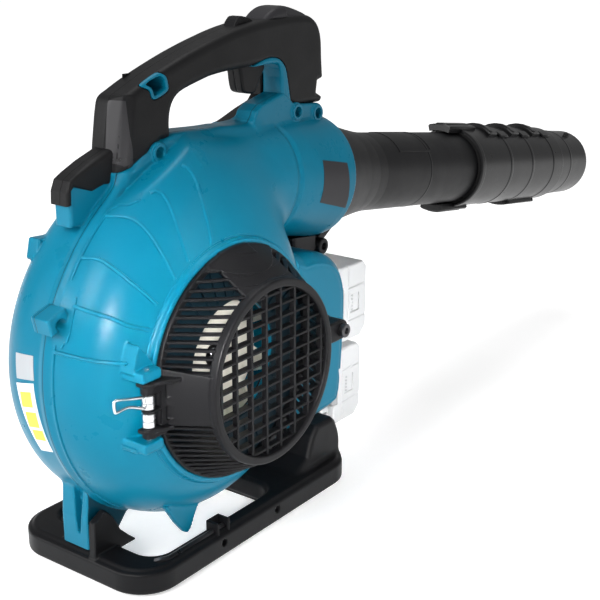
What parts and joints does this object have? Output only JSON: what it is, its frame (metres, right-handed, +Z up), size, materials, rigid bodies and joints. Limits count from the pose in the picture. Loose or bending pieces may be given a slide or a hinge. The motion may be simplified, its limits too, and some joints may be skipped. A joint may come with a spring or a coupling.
{
  "type": "hand-held cordless leaf blower",
  "caption": "Cordless hand-held garden blower and vacuum on a stand base: scroll fan housing with hinged intake grille, top handle with trigger, and telescoping blowing tube.",
  "frame": {"origin": "centre of the bounding box's bottom face, on the ground", "axes": "+X along the blowing tube towards the nozzle, +Y to the motor side, +Z up"},
  "size_m": [0.8952, 0.2084, 0.4226],
  "materials": {
    "teal_plastic": "moulded glass-filled plastic, fine satin grain",
    "black_plastic": "moulded plastic, fine texture",
    "charcoal_plastic": "moulded plastic, satin",
    "rubber": "soft rubber",
    "steel": "zinc plated",
    "cream_plastic": "natural nylon",
    "board": "circuit board in potting",
    "battery_plastic": "pale grey moulded plastic"
  },
  "bodies": {
    "root": {"housing_right": "teal_plastic", "housing_left": "teal_plastic", "handle_front_post": "teal_plastic", "motor_cover": "teal_plastic", "battery_box": "teal_plastic", "handle_grip_right": "black_plastic", "handle_grip_left": "black_plastic", "rear_bumper": "black_plastic", "motor_mount": "black_plastic", "cover_lock_boss": "black_plastic", "terminal_block_upper": "black_plastic", "terminal_block_lower": "black_plastic", "main_tube": "black_plastic", "tube_bracket": "black_plastic", "base_stand": "black_plastic", "switch_unit": "charcoal_plastic", "handle_dome": "charcoal_plastic", "interlock_switch": "charcoal_plastic", "base_foot_1": "rubber", "base_foot_2": "rubber", "base_foot_3": "rubber", "base_foot_4": "rubber", "housing_screw_1": "steel", "housing_screw_2": "steel", "housing_screw_3": "steel", "housing_screw_4": "steel", "housing_screw_5": "steel", "trigger_pin": "steel", "trigger_spring": "steel", "cruise_lever_pin": "steel", "motor_can": "steel", "bearing_front": "steel", "bearing_rear": "steel", "hinge_pin": "steel", "hinge_roller_upper": "steel", "hinge_roller_lower": "steel", "cover_spring": "steel", "hex_wrench": "steel", "control_board": "board"},
    "fan": {"motor_shaft": "steel", "fan": "cream_plastic", "fan_nut": "steel"},
    "intake_cover": {"intake_cover": "black_plastic"},
    "lock_bolt": {"cover_lock_bolt": "steel"},
    "trigger": {"trigger": "black_plastic"},
    "cruise_lever": {"cruise_lever": "black_plastic"},
    "battery_upper": {"battery_upper": "battery_plastic"},
    "battery_lower": {"battery_lower": "battery_plastic"},
    "button_upper": {"battery_button_upper": "charcoal_plastic"},
    "button_lower": {"battery_button_lower": "charcoal_plastic"},
    "interlock_plunger": {"interlock_plunger": "charcoal_plastic"},
    "nozzle_carrier": {"nozzle_seal_ring": "rubber"},
    "front_nozzle": {"front_nozzle": "black_plastic"}
  },
  "joints": [
    {"name": "fan_spin", "type": "hinge", "parent": "root", "child": "fan", "pos_m": [-0.30915, 0.00975, 0.164], "axis": [0, 1, 0], "continuous": true},
    {"name": "cover_hinge", "type": "hinge", "parent": "root", "child": "intake_cover", "pos_m": [-0.41215, -0.06925, 0.159], "axis": [0, 0, -1], "range_deg": [0, 100]},
    {"name": "lock_bolt_turn", "type": "hinge", "parent": "intake_cover", "child": "lock_bolt", "pos_m": [-0.18315, -0.07025, 0.157], "axis": [0, -1, 0], "range_deg": [0, 360]},
    {"name": "trigger_pull", "type": "hinge", "parent": "root", "child": "trigger", "pos_m": [-0.21315, 0.00975, 0.383], "axis": [0, -1, 0], "range_deg": [0, 12], "stiffness_Nm_per_rad": 2},
    {"name": "cruise_lever_lift", "type": "hinge", "parent": "root", "child": "cruise_lever", "pos_m": [-0.20015, 0.00975, 0.404], "axis": [0, 1, 0], "range_deg": [0, 45]},
    {"name": "battery_upper_slide", "type": "slide", "parent": "root", "child": "battery_upper", "axis": [0, -1, 0], "range_m": [0, 0.118]},
    {"name": "battery_lower_slide", "type": "slide", "parent": "root", "child": "battery_lower", "axis": [0, -1, 0], "range_m": [0, 0.118]},
    {"name": "button_upper_press", "type": "slide", "parent": "battery_upper", "child": "button_upper", "axis": [0, 1, 0], "range_m": [0, 0.003], "stiffness_N_per_m": 300},
    {"name": "button_lower_press", "type": "slide", "parent": "battery_lower", "child": "button_lower", "axis": [0, 1, 0], "range_m": [0, 0.003], "stiffness_N_per_m": 300},
    {"name": "interlock_press", "type": "slide", "parent": "root", "child": "interlock_plunger", "axis": [0, 1, 0], "range_m": [0, 0.003], "stiffness_N_per_m": 200},
    {"name": "nozzle_slide", "type": "slide", "parent": "root", "child": "nozzle_carrier", "axis": [0.9912, 0, -0.1323], "range_m": [0, 0.112]},
    {"name": "nozzle_turn", "type": "hinge", "parent": "nozzle_carrier", "child": "front_nozzle", "pos_m": [0.17558, 0.00975, 0.23125], "axis": [0.9912, 0, -0.1323], "range_deg": [0, 25]}
  ]
}
